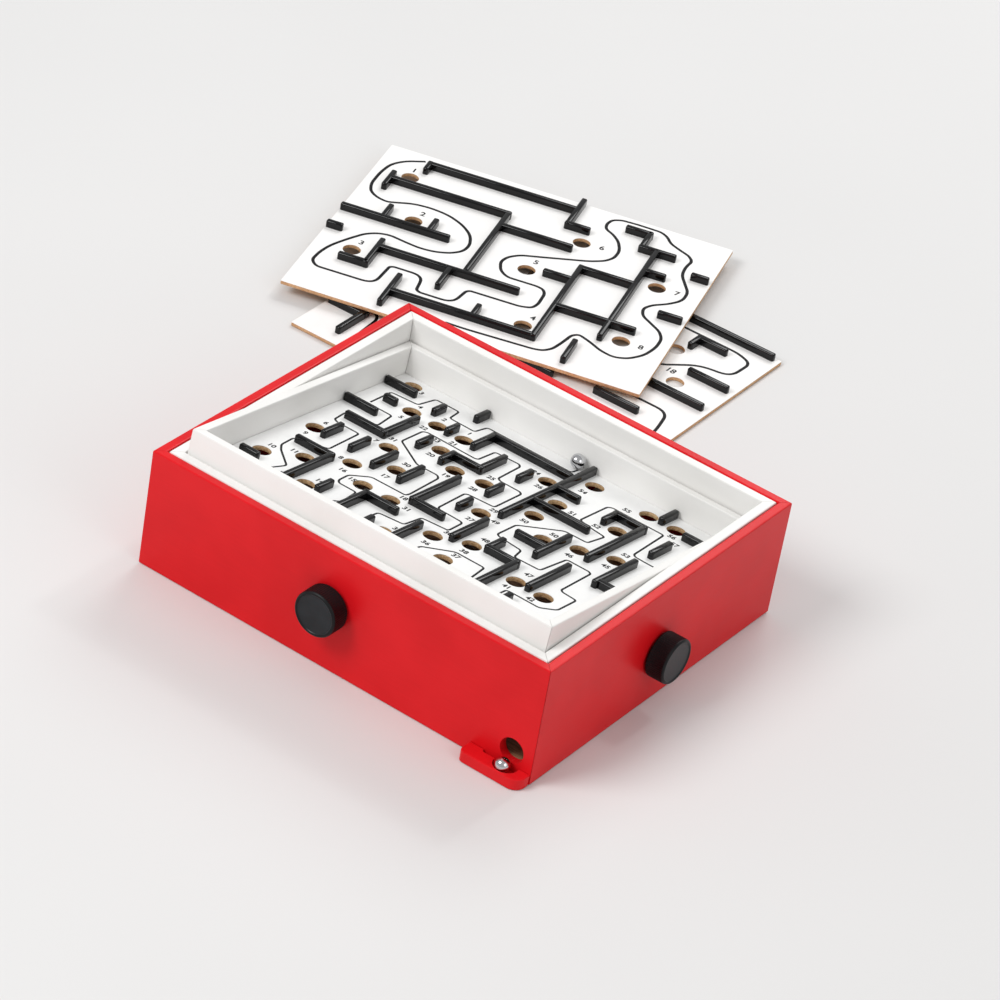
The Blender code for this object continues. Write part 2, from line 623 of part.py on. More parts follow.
SPRING_R, SPRING_L = 2.4 * MM, 11 * MM
ANCHOR_R, ANCHOR_L = 1.5 * MM, 5 * MM


def add_spring(name, top, parent=None):
    """The coil's outer shape, hollow, standing on the string's end."""
    profile = ring_profile(1.3 * MM, SPRING_R, SPRING_L)
    return add_turned(name, profile, Vector(top) - Vector((0, 0, SPRING_L)), (0, 0, 1), STEEL, parent,
                      steps=12)


# The front string tilts the outer frame, and the side string the inner frame.
front_w0, side_w0 = -144.7 * MM, 157.2 * MM
drift = 1.3 * MM * STRING_TURNS
string_reach = 146 * MM
outer_low = BOX_H - OUTER_DEPTH
anchor_tip = outer_low - GAP - ANCHOR_L
front_route = wound_string(FRONT_SHAFT_X, FRONT_SHAFT_Z, (-string_reach, string_reach), front_w0,
                           (anchor_tip - GAP - SPRING_L - GAP, anchor_tip - GAP))
add_string("front_string", front_route)
for peg, x in (("front_left_peg", -string_reach), ("front_right_peg", string_reach)):
    add_rod(peg, (x, -box_inner_y + GAP, PEG_Z), (x, -box_inner_y + 9 * MM, PEG_Z), PEG_R, NYLON)
spring_x = front_route[0][0]
add_spring("front_string_spring", (spring_x, front_w0, anchor_tip - GAP))
end_x = front_route[-1][0]
for anchor, x, y in (("outer_left_anchor", spring_x, front_w0),
                     ("outer_right_anchor", end_x, front_w0 + drift)):
    local = level(x, y, 0.0)
    high = outer_low - GAP - HINGE_Z
    add_rod(anchor, (local.x, local.y, high - ANCHOR_L), (local.x, local.y, high), ANCHOR_R, STEEL,
            outer_axis, 12)

# The side string runs near the middle, where the outer frame hardly moves.
SIDE_PLANE = 17.5 * MM
inner_low = BOX_H - INNER_DEPTH
anchor_y = INNER_Y - INNER_RAIL / 2
peg_wrap = PEG_R + WRAP_R


def inner_anchor(name, y, x):
    """An anchor under the inner frame; gives back where its tip is in the tilted rest position."""
    high = inner_low - GAP - HINGE_Z
    add_rod(name, (x, y, high - ANCHOR_L), (x, y, high), ANCHOR_R, STEEL, inner_axis, 12)
    tip = Matrix.Rotation(-REST_TILT, 3, "X") @ Vector((x, y, high - ANCHOR_L))
    return tip.y, tip.z + HINGE_Z


near_y, near_tip = inner_anchor("inner_front_anchor", -anchor_y, SIDE_PLANE)
far_y, far_tip = inner_anchor("inner_back_anchor", anchor_y, SIDE_PLANE + drift)
clear = 0.9 * MM
side_route = wound_string(SIDE_SHAFT_Y, SIDE_SHAFT_Z, (near_y + peg_wrap, far_y - peg_wrap), SIDE_PLANE,
                          (near_tip - clear - SPRING_L - GAP, far_tip - clear))
add_string("side_string", [(w, u, z) for u, w, z in side_route])
add_spring("side_string_spring", (SIDE_PLANE, side_route[0][0], near_tip - clear))
PEG_X0, PEG_X1 = SIDE_PLANE - 2 * MM, SIDE_PLANE + drift + 2 * MM
ARM_W, ARM_H = 8 * MM, 9 * MM
for peg, y, side in (("side_front_peg", near_y + peg_wrap, -1), ("side_back_peg", far_y - peg_wrap, 1)):
    ends = sorted((side * room_y, y - side * PEG_R))
    arm = add_box(peg, (PEG_X1, ends[0], PEG_Z - ARM_H / 2), (PEG_X1 + ARM_W, ends[1], PEG_Z + ARM_H / 2),
                  NYLON)
    bm = rod_mesh((PEG_X0, y, PEG_Z), (PEG_X1 + MM, y, PEG_Z), PEG_R)
    boolean(arm, make_cutter(add_mesh(peg + "_pin", bm, home=CUTTERS, smooth=True)), "UNION")


# ---- Balls --------------------------------------------------------------------------------------
def add_ball(name, place, parent=None):
    bm = bmesh.new()
    bmesh.ops.create_uvsphere(bm, u_segments=16, v_segments=10, radius=BALL_R)
    made = add_mesh(name, bm, BALL, parent=parent, smooth=True)
    made.location = place
    return made


maze_ball_place = (13.4 * MM, BOARD_Y - BALL_R - GAP, face_high + BALL_R + GAP)
add_ball("maze_ball", maze_ball_place, inner_axis)
add_ball("tray_ball", (159.4 * MM, -BOX_W / 2 - BALL_R - GAP, POCKET_FLOOR + BALL_R + GAP))
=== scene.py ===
"""Finished look of the tilt maze game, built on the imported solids.

Metres, +Z up.  Pieces of the maze are laid out in millimetres on their own board and then set in place.
"""

import math

import bmesh
import bpy
from mathutils import Matrix, Vector


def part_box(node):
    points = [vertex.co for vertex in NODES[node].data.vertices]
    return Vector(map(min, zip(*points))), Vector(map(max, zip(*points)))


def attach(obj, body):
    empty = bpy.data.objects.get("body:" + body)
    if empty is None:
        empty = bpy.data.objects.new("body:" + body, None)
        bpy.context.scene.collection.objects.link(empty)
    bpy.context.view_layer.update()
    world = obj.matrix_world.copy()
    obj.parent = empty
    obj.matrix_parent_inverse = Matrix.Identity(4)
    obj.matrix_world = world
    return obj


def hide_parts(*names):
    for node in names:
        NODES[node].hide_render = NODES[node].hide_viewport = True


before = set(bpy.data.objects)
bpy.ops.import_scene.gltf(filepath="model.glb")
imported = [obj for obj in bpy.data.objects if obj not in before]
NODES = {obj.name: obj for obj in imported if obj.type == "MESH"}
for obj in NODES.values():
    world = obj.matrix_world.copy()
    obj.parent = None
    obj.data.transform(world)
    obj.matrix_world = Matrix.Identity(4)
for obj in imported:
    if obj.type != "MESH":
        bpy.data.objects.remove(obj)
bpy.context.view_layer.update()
MM = 0.001

# ---- Layout, in millimetres ---------------------------------------------------------------------
HINGE_Z = 88.0
LEAN = Matrix.Translation((0, 0, HINGE_Z * MM)) @ Matrix.Rotation(math.radians(-8.0), 4, "X")
FACE_Z = 77.0 - HINGE_Z            # maze's white face, measured from the hinges
PITCH, SHIFT = 25.2, 1.0           # columns of the maze
HOLE_R = 7.6
STRIP_W, STRIP_H = 5.0, 6.5
BOARD_HALF = (154.8, 129.5)
SPARE_HALF = (155.0, 129.8)
SPARE_T = 3.2
PANEL_LOW, PANEL_HIGH = FACE_Z - 4.0, FACE_Z - 0.52      # the fibre panel under the printed face
SHEET_T = 0.5                      # the maze's printed face
SPARE_SHEET_T = 0.34               # the thinner face of a spare board
SPARE_PANEL_T = 2.85
FILM = 0.03                        # printed ink stands this far above its face
STRIP_SINK = 0.1                   # strips stand this deep in their face
MAZE_LINE, SPARE_LINE = 1.75, 2.8  # widths of the printed routes
MAZE_BEND, SPARE_BEND = 2.6, 11.0  # how far a bend in a route is rounded
MAZE_TYPE, SPARE_TYPE = 6.8, 9.0   # heights of the printed figures
BALL_R = 6.0
FRONT_KNOB_SEAT = (-9, -156.6, 54)
SIDE_KNOB_SEAT = (181.6, -6, 43)

COLUMN_STRIPS = [
    (-5, -20, 5.5), (-4, 89.5, 106), (-4, 21.8, 70), (-4, -19.5, 6.5), (-4, -112, -39.8),
    (-3, 111, 129.3), (-3, 71.5, 88), (-3, 33, 53), (-3, -25.5, 7.5), (-3, -94.5, -74.5),
    (-2, 71, 103.5), (-2, 28, 48.7), (-2, -26, 7), (-2, -110, -63.8), (-1, 43.3, 80.5),
    (-1, -44.2, 19.5), (-1, -129.3, -91.5), (0, 59.5, 80), (0, 18.5, 40.5), (0, -19.5, -0.5),
    (0, -112, -65), (1, 0.5, 129.3), (1, -63, -15.5), (2, -53.2, -29.5), (3, 64.5, 85.7), (3, -27, 21),
    (3, -115, -47.8), (4, 106.5, 129.3), (4, 4.5, 85.7), (4, -73, -17), (4, -129.3, -93), (5, 53.5, 82),
    (5, -23, 34.5)]
CROSS_STRIPS = [
    (-154.6, -124.6, 102), (-137, -124.5, 76), (-52.1, 24, 100.8), (26, 48, 76), (26, 79, 43),
    (73.9, 104.5, 83), (124.3, 154.6, 103.5), (127, 154.6, -18), (-136, -97.1, 24.5),
    (-154.6, -123.6, 48.5), (-52.1, -21.5, 46), (-26.9, 5, -41.5), (48.5, 77, -11), (48.7, 79.3, -50.5),
    (-133, -97.1, -42.5), (-52.1, -19.5, -66.5), (-147, -129.5, -93), (27.5, 54, -107)]
HOLES = [
    (-5.5, 116), (-5.5, -11), (-5.5, -78), (-4.5, 80), (-4.5, -57), (-4.5, -108), (-3.5, 79.5),
    (-3.5, 15), (-3.5, -31.5), (-3.5, -90), (-2.5, 79.5), (-2.5, 49), (-2.5, -9), (-2.5, -52),
    (-1.5, 32), (-1.5, -51.5), (-1.5, -104), (-0.5, 35.5), (-0.5, -96), (0.5, 84), (0.5, -5),
    (0.5, -67), (1.5, 111.5), (1.5, 60.5), (1.5, 29), (1.5, -52.5), (1.5, -89.5), (2.5, 4), (2.5, -104),
    (3.5, 111), (3.5, 67.5), (3.5, 16), (3.5, -67.5), (4.5, 111), (4.5, 28), (4.5, -68.5)]
NUMBERS = [
    (3, -127, 113), (4, -113.4, 92.6), (2, -90.6, 93), (1, -66, 92.4), (5, -112, 65), (22, -91.6, 66.6),
    (21, -63.4, 67), (23, -74, 59), (24, 0, 88), (26, 14, 71), (54, 38, 96), (51, 53.6, 59),
    (52, 75.4, 59), (55, 74.6, 102.4), (56, 118, 99), (57, 126, 90.4), (53, 114, 41.4),
    (45, 114.4, 13.6), (46, 89, 2), (50, 39.4, 15), (50, 65, 17.4), (49, 28, -7), (29, 17, 7),
    (27, 14.6, -21), (25, -14.4, 48), (28, -12, 20.6), (20, -62.6, 35.6), (19, -36.4, 19),
    (31, -93, 29), (7, -99.4, 15), (6, -137.6, 2.4), (9, -136.6, -25), (30, -63, 5), (17, -61.4, -25),
    (8, -97.6, -32), (16, -85, -46.6), (18, -33, -40), (15, -72, -52), (31, -21.4, -52),
    (30, 18, -53.6), (36, 17, -81), (35, -7, -84), (48, 40, -37), (38, 41, -65.6), (37, 41.6, -77),
    (47, 89, -51), (41, 89.4, -80), (42, 110, -79.4), (11, -123.4, -56), (10, -138, -65),
    (12, -107, -93), (14, -84, -76.6)]
PATHS = [
    [(-140, 63), (-141, 92), (-117, 94.4), (-114.4, 115), (-92, 115), (-90, 99.4), (-66, 99),
     (-64, 114), (15, 114), (16, 122)],
    [(-140, 60), (-117, 60), (-113.6, 37), (-140, 31), (-138, 14), (-134, 12), (-113, 12), (-111, -29),
     (-136.4, -40), (-135, -57), (-130, -64), (-112.4, -80), (-119, -98), (-119, -122), (-60, -122),
     (-55, -112), (-55.6, -87)],
    [(-65, -98), (-55.6, -87), (-58, -65.6), (-74.4, -65.6), (-77, -62), (-77.6, -49), (-66, -35.6),
     (-35, -35), (-34, -31), (-36.6, 10), (-40, 13.4), (-59, 13), (-88, 33), (-88.4, 61), (-85, 63.4),
     (-40, 62.6), (-37.6, 64), (-37, 86), (-15, 87), (-12.4, 84), (-11, 53), (-8, 50.6), (11, 50.4),
     (13.6, 48), (14, 12), (-9, 10), (-11, 8), (-9.6, -27), (-8, -29.4), (13, -30), (15, -32),
     (15.6, -50), (-7, -52.6), (-8.6, -73), (-30, -76), (-31, -98), (-31, -120), (14, -121), (18, -98)],
    [(18, -98), (18, -89), (38, -72), (64, -72), (67.6, -99), (68, -119), (90, -119), (92, -99),
     (92.4, -85), (95, -84), (121, -84), (131, -74.6), (131, -50), (118, -49), (115.6, -47),
     (114.6, -7), (112, -5), (92, -5), (89.6, -37), (67, -38), (64.4, -25), (42, -22.4), (39.6, -20),
     (39.6, 4), (66, 30.4), (86, 31), (88.6, 51), (75, 53), (62.6, 56), (63, 93), (66, 95.6),
     (113, 95.6), (116.6, 49), (119, 46.4), (129, 46), (142, 46), (142, 92)]]

UPPER_UPRIGHTS = [
    (-113.3, 98, 113.2), (20.8, 81.3, 129.3), (-134.8, 54, 81), (-27.8, -38, 72.7), (-117.2, 5, 27),
    (-76.2, 5, 26), (-103.8, -73.2, -29), (-40.2, -72, -41), (-72.2, -122, -73), (0.2, -100, -81),
    (53.2, -102.7, 24.7), (100.8, -72, 84), (87.2, 83, 109.7), (85.8, -121, -88)]
UPPER_CROSSES = [
    (-116, 21, 110.5), (18, 41, 84), (-135, -25, 70), (-28, 37, 49), (-154.6, -57, 5),
    (-154.6, -140, -28), (-104, 21, -41), (-128, -101, -70.5), (-72, 55.9, -100), (53, 101, 22),
    (27.5, 53, 0), (53, 124, -46), (84.5, 118, 83), (65.5, 89.9, 107), (100, 120, 48), (137, 153, 64),
    (131, 152.5, -9)]
UPPER_HOLES = [
    (-122, 86), (-94.5, 20), (-122.5, -52), (39.5, -84), (13.5, 0), (39.5, 67.5), (117, 34.5),
    (117, -62)]
UPPER_NUMBERS = [
    (1, -123, 99), (2, -91.6, 35), (3, -119.4, -37.4), (4, 43, -69), (5, 16.6, 15.6), (6, 57, 69),
    (7, 134.4, 35), (8, 134, -62)]
UPPER_PATH = [
    (-120, 119), (-135, 110), (-144, 98), (-147, 80), (-147, 58), (-143, 46), (-135, 39.5), (-125, 37),
    (-118, 40), (-105, 46.5), (-90, 48.5), (-72, 46), (-56, 37), (-45, 25), (-40.5, 10), (-42, -2),
    (-50, -11), (-62, -16.5), (-75, -18), (-90, -15.5), (-103, -12.5), (-113, -15), (-122, -22),
    (-131, -37), (-140, -55), (-144, -70), (-145, -85), (-139, -92.5), (-88, -92), (-86, -60),
    (-83, -58), (-57, -58), (-54.5, -81), (-51, -83.5), (-22, -83.5), (-18.5, -61), (-16, -58),
    (28, -57.5), (37, -54), (39.5, -46), (39, -28), (36, -22), (30, -19.8), (3, -20), (-5, -13),
    (-9.5, 0), (-7, 10), (1, 19), (15, 25), (35, 34), (55, 43), (66, 51), (71, 60), (71.5, 73),
    (66, 87), (58, 96), (50, 101), (48, 109), (50, 118), (57, 122.5), (70, 123.5), (93, 123),
    (100, 118), (105, 110), (115, 104), (125, 99), (130, 92), (128, 80), (129, 66), (136, 53),
    (142, 42), (142, 27), (133, 15), (122, 6), (117, -3), (120, -14), (130, -22), (140, -30),
    (145, -40), (145, -55), (140, -72), (130, -84), (119, -88.5), (107, -85), (95, -77), (84, -71.5),
    (79, -76), (76, -90), (72, -104), (66, -111), (58, -113), (0, -115.5), (-17, -115)]
LOWER_UPRIGHTS = [
    (91.5, 86, 103.5), (-119.5, -116, -74), (-60, 20, 100), (0, -104, -33.5), (42, -25, 20),
    (-30, -30, 22), (-96, -40, 30), (20, 48, 96)]
LOWER_CROSSES = [
    (20, 150, 125), (89, 119, 101), (111, 150, 54), (96, 150, 16), (73, 116, -28), (-153, -117, -81),
    (-2.5, 38, -36), (-100, -57, 60), (-62, 45, 20), (-90, -20, -62), (60, 130, -100)]
LOWER_HOLES = [
    (84, 78), (111, 35), (-132, 50), (-84, 92), (-16, 60), (-66, -20), (-60, -96), (24, -72), (124, -66)]
LOWER_NUMBERS = [
    (16, 72, 88), (18, 99, 47), (10, -132, 64), (11, -84, 106), (12, -16, 74), (13, -66, -6),
    (14, -60, -82), (15, 24, -58), (17, 124, -52)]
LOWER_PATH = [
    (140, -118), (140, -40), (132, -8), (60, -8), (56, 34), (70, 47), (87, 47), (111, 72), (138, 77),
    (139, 106), (124, 112), (8, 112), (4, 36), (-46, 38), (-48, 108), (-110, 112), (-116, 40),
    (-146, 30), (-146, -60), (-110, -68), (-106, -118), (-20, -118), (-12, -50), (-48, -44), (-50, -4)]
UPPER_PLACE = (-235, 389, 10.0, 16.8)      # middle x, middle y, underside, turn in degrees
LOWER_PLACE = (-158, 324, 0.0, 1.4)


# ---- Shader expressions -------------------------------------------------------------------------
class Wire:
    """A node's output that takes part in arithmetic."""

    def __init__(self, finish, socket):
        self.finish = finish
        self.socket = socket

    def math(self, operation, left, right=None):
        sockets = {0: left} if right is None else {0: left, 1: right}
        return self.finish.node("ShaderNodeMath", {"operation": operation}, sockets)

    def __add__(self, other):
        return self.math("ADD", self, other)

    def __radd__(self, other):
        return self.math("ADD", other, self)

    def __sub__(self, other):
        return self.math("SUBTRACT", self, other)

    def __rsub__(self, other):
        return self.math("SUBTRACT", other, self)

    def __mul__(self, other):
        return self.math("MULTIPLY", self, other)

    def __rmul__(self, other):
        return self.math("MULTIPLY", other, self)

    def __truediv__(self, other):
        return self.math("DIVIDE", self, other)

    def __pow__(self, other):
        return self.math("POWER", self, other)


class Finish:
    """One material, with the helpers its recipes share."""

    def __init__(self, name, **fixed):
        self.material = bpy.data.materials.new(name)
        self.material.use_nodes = True
        self.tree = self.material.node_tree
        self.shader = self.tree.nodes["Principled BSDF"]
        for socket, value in fixed.items():
            self.shader.inputs[socket.replace("_", " ")].default_value = value

    def node(self, kind, settings=None, sockets=None, out=0):
        made = self.tree.nodes.new(kind)
        for key, value in (settings or {}).items():
            if key == "stops":
                self.set_stops(made.color_ramp, value)
            else:
                setattr(made, key, value)
        for key, value in (sockets or {}).items():
            self.plug(made.inputs[key], value)
        return Wire(self, made.outputs[out])

    def set_stops(self, ramp, stops):
        while len(ramp.elements) < len(stops):
            ramp.elements.new(0.5)
        for element, (place, colour) in zip(ramp.elements, stops):
            element.position = place
            element.color = (*colour, 1.0) if len(colour) == 3 else colour

    def plug(self, socket, value):
        if isinstance(value, Wire):
            self.tree.links.new(value.socket, socket)
        elif socket.type == "RGBA" and len(value) == 3:
            socket.default_value = (*value, 1.0)
        else:
            socket.default_value = value

    def feed(self, **sockets):
        for name, value in sockets.items():
            self.plug(self.shader.inputs[name.replace("_", " ")], value)
        return self.material

    def place(self, stretch=(1.0, 1.0, 1.0)):
        here = self.node("ShaderNodeTexCoord", out="Object")
        return self.node("ShaderNodeMapping", None, {"Vector": here, "Scale": stretch})

    def noise(self, scale, detail=3.0, stretch=(1.0, 1.0, 1.0), roughness=0.5):
        return self.node("ShaderNodeTexNoise", None, {
            "Vector": self.place(stretch), "Scale": scale, "Detail": detail, "Roughness": roughness})

    def cells(self, scale, stretch=(1.0, 1.0, 1.0)):
        return self.node("ShaderNodeTexVoronoi", None, {"Vector": self.place(stretch), "Scale": scale})

    def ramp(self, value, *stops):
        return self.node("ShaderNodeValToRGB", {"stops": stops}, {"Fac": value})

    def mask(self, value, low, high):
        return self.node("ShaderNodeMapRange", {"interpolation_type": "SMOOTHSTEP"}, {
            "Value": value, "From Min": low, "From Max": high})

    def tint(self, mask, first, second):
        return self.node("ShaderNodeMix", {"data_type": "RGBA"}, {0: mask, 6: first, 7: second}, out=2)

    def bump(self, height, strength, distance):
        return self.node("ShaderNodeBump", None,
                         {"Height": height, "Strength": strength, "Distance": distance})


def painted_wood(name, deep, bright, roughness, along, relief=0.55, specular=0.3):
    """Sprayed paint on close-grained wood: faint grain along the piece, fine spray texture, mottling."""
    f = Finish(name, Specular_IOR_Level=specular)
    stretch = {"x": (6.0, 90.0, 90.0), "y": (90.0, 6.0, 90.0)}[along]
    grain = f.noise(9.0, 4.0, stretch, 0.6)
    spray = f.noise(2600.0, 2.0)
    cloud = f.noise(14.0, 2.0)
    colour = f.tint(f.mask(cloud * (1.0 - relief / 2) + grain * (relief / 2), 0.35, 0.65), deep, bright)
    height = grain * relief + spray * 0.25
    rough = roughness + (grain - 0.5) * 0.14 + (cloud - 0.5) * 0.06
    return f.feed(Base_Color=colour, Roughness=rough, Normal=f.bump(height, 0.22, 0.0002))


def printed_face(name, light, shade):
    """White printed sheet with a faint fibre mottle and a soft satin varnish."""
    f = Finish(name)
    mottle = f.noise(60.0, 4.0)
    fibre = f.noise(900.0, 2.0, (1.0, 2.4, 1.0))
    colour = f.tint(f.mask(mottle, 0.3, 0.75), light, shade)
    rough = 0.36 + mottle * 0.12 + fibre * 0.05
    return f.feed(Base_Color=colour, Roughness=rough, Normal=f.bump(fibre, 0.06, 0.0001))


def fibreboard(name, dark, light):
    """Pressed fibre: short pale and dark flecks, matt."""
    f = Finish(name)
    flecks = f.noise(420.0, 5.0, (1.0, 1.6, 2.2), 0.65)
    patches = f.noise(38.0, 3.0)
    colour = f.tint(f.mask(flecks * 0.7 + patches * 0.3, 0.36, 0.66), dark, light)
    return f.feed(Base_Color=colour, Roughness=0.66 + flecks * 0.2, Normal=f.bump(flecks, 0.35, 0.0002))


def plain_wood(name, dark, light, stretch):
    """Bare sawn wood with drawn-out grain and finer pores."""
    f = Finish(name)
    rings = f.noise(7.0, 4.0, stretch, 0.6)
    pores = f.noise(60.0, 3.0, stretch)
    bands = f.node("ShaderNodeMath", {"operation": "SINE"}, {0: rings * 34.0})
    colour = f.tint(f.mask(bands * 0.35 + pores * 0.8, 0.1, 0.8), dark, light)
    return f.feed(Base_Color=colour, Roughness=0.55 + pores * 0.2,
                  Normal=f.bump(pores + bands * 0.3, 0.25, 0.0002))


def gloss_strip(name):
    """Black lacquered strip with a soft ripple and a few dust specks."""
    f = Finish(name, Specular_IOR_Level=0.32)
    ripple = f.noise(130.0, 2.0)
    specks = f.mask(f.cells(700.0), 0.05, 0.02)
    colour = f.tint(specks, (0.002, 0.002, 0.0025), (0.01, 0.01, 0.011))
    rough = 0.06 + ripple * 0.07 + specks * 0.2
    return f.feed(Base_Color=colour, Roughness=rough, Normal=f.bump(ripple, 0.12, 0.0002))


def moulded_plastic(name, dark, light, roughness, grain=1500.0, specular=0.5):
    """Moulded part: fine eroded texture and slightly worn patches."""
    f = Finish(name, Specular_IOR_Level=specular)
    texture = f.noise(grain, 3.0)
    wear = f.noise(45.0, 3.0)
    colour = f.tint(f.mask(wear, 0.3, 0.75), dark, light)
    rough = roughness + (texture - 0.5) * 0.16 + (wear - 0.5) * 0.1
    return f.feed(Base_Color=colour, Roughness=rough, Normal=f.bump(texture, 0.25, 0.0001))


def drawn_steel(name, along):
    """Drawn rod or wire, with fine lines along its length."""
    f = Finish(name, Metallic=1.0)
    stretch = {"x": (4.0, 200.0, 200.0), "y": (200.0, 4.0, 200.0), "z": (200.0, 200.0, 4.0)}[along]
    lines = f.noise(12.0, 3.0, stretch)
    stain = f.noise(90.0, 2.0)
    colour = f.tint(f.mask(stain, 0.35, 0.7), (0.47, 0.47, 0.48), (0.62, 0.62, 0.63))
    return f.feed(Base_Color=colour, Roughness=0.2 + lines * 0.2, Normal=f.bump(lines, 0.12, 0.0001))


def ball_steel(name):
    """Polished bearing steel with faint handling marks."""
    f = Finish(name, Metallic=1.0)
    smears = f.noise(230.0, 3.0, (1.0, 1.8, 1.0))
    scuffs = f.mask(f.noise(900.0, 4.0, (1.0, 6.0, 1.0)), 0.66, 0.74)
    colour = f.tint(smears, (0.56, 0.57, 0.59), (0.68, 0.68, 0.69))
    return f.feed(Base_Color=colour, Roughness=0.07 + smears * 0.06 + scuffs * 0.14,
                  Normal=f.bump(scuffs, 0.05, 0.0001))


def twisted_thread(name, along):
    """Waxed, twisted thread with a fine fuzz."""
    f = Finish(name)
    slant = {"x": (900.0, 320.0, 320.0), "y": (320.0, 900.0, 320.0)}[along]
    twist = f.node("ShaderNodeTexWave", None, {"Vector": f.place(slant), "Scale": 1.0, "Distortion": 1.5})
    fuzz = f.noise(2400.0, 3.0)
    colour = f.tint(f.mask(twist * 0.7 + fuzz * 0.3, 0.2, 0.8), (0.36, 0.31, 0.22), (0.66, 0.6, 0.48))
    return f.feed(Base_Color=colour, Roughness=0.75 + fuzz * 0.15,
                  Normal=f.bump(twist + fuzz * 0.4, 0.5, 0.0002))


def black_ink(name):
    """Screen-printed ink, a little thin in places."""
    f = Finish(name, Specular_IOR_Level=0.15)
    thin = f.noise(800.0, 3.0)
    colour = f.tint(f.mask(thin, 0.5, 0.8), (0.005, 0.005, 0.006), (0.022, 0.022, 0.024))
    return f.feed(Base_Color=colour, Roughness=0.4 + thin * 0.2, Normal=f.bump(thin, 0.05, 0.0001))


def backdrop_paper(name):
    """Pale matt paper under the pieces."""
    f = Finish(name)
    cloud = f.noise(1.6, 2.0)
    colour = f.tint(cloud, (0.7, 0.695, 0.69), (0.76, 0.755, 0.75))
    return f.feed(Base_Color=colour, Roughness=0.75 + cloud * 0.1)


RED_DEEP, RED_BRIGHT = (0.66, 0.005, 0.009), (0.74, 0.008, 0.013)
WHITE_DEEP, WHITE_BRIGHT = (0.85, 0.84, 0.815), (0.89, 0.88, 0.86)
RED_X = painted_wood("red_paint_long", RED_DEEP, RED_BRIGHT, 0.36, "x", 0.35, 0.2)
RED_Y = painted_wood("red_paint_short", RED_DEEP, RED_BRIGHT, 0.36, "y", 0.35, 0.2)
WHITE_X = painted_wood("white_paint_long", WHITE_DEEP, WHITE_BRIGHT, 0.4, "x", 0.2)
WHITE_Y = painted_wood("white_paint_short", WHITE_DEEP, WHITE_BRIGHT, 0.4, "y", 0.2)
FACE = printed_face("maze_print_white", (0.90, 0.90, 0.89), (0.86, 0.86, 0.85))
# Painted light: the loose boards' print is a lighter copy of the maze's white print, brightened to stand
# for the stronger light on the loose boards.
LIT_SPARE_FACE = printed_face("spare_print_lit_white", (0.94, 0.93, 0.915), (0.91, 0.9, 0.885))
FIBRE = fibreboard("fibreboard_tan", (0.36, 0.2, 0.085), (0.78, 0.55, 0.31))
SPARE_EDGE = fibreboard("spare_board_edge", (0.48, 0.26, 0.12), (0.72, 0.46, 0.25))
RAMP_WOOD = plain_wood("ramp_wood", (0.22, 0.11, 0.05), (0.38, 0.21, 0.11), (3.0, 60.0, 60.0))
BATTEN_WOOD = plain_wood("batten_wood", (0.3, 0.17, 0.08), (0.5, 0.33, 0.18), (60.0, 3.0, 60.0))
BASE_WOOD = plain_wood("base_board", (0.34, 0.22, 0.12), (0.52, 0.37, 0.22), (3.0, 50.0, 50.0))
STRIP_BLACK = gloss_strip("maze_strip_black")
KNOB_RIM = moulded_plastic("knob_black", (0.003, 0.003, 0.004), (0.007, 0.008, 0.009), 0.4, specular=0.22)
KNOB_FACE = moulded_plastic("knob_face", (0.006, 0.008, 0.01), (0.014, 0.018, 0.022), 0.34, 900.0, 0.3)
NYLON = moulded_plastic("natural_nylon", (0.62, 0.6, 0.52), (0.76, 0.74, 0.66), 0.45)
INK = black_ink("printed_ink")


# ---- Shape helpers ------------------------------------------------------------------------------
def column(number):
    return SHIFT + PITCH * number


def settle(obj, place, body, finishes, slot, *stands_for):
    """Put a finished piece in place on its body."""
    for finish in finishes:
        obj.data.materials.append(finish)
    obj.matrix_world = place
    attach(obj, body)
    if stands_for:
        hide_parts(*stands_for)
    return obj


def new_object(name, mesh):
    made = bpy.data.objects.new(name, mesh)
    bpy.context.scene.collection.objects.link(made)
    return made


def from_bmesh(name, bm, smooth_angle=None):
    mesh = bpy.data.meshes.new(name)
    bmesh.ops.recalc_face_normals(bm, faces=bm.faces)
    bm.to_mesh(mesh)
    bm.free()
    if smooth_angle is not None:
        mesh.shade_smooth()
        mesh.set_sharp_from_angle(angle=math.radians(smooth_angle))
    return new_object(name, mesh)


def evaluated_mesh(obj):
    bpy.context.view_layer.update()
    shaped = obj.evaluated_get(bpy.context.evaluated_depsgraph_get())
    return bpy.data.meshes.new_from_object(shaped)


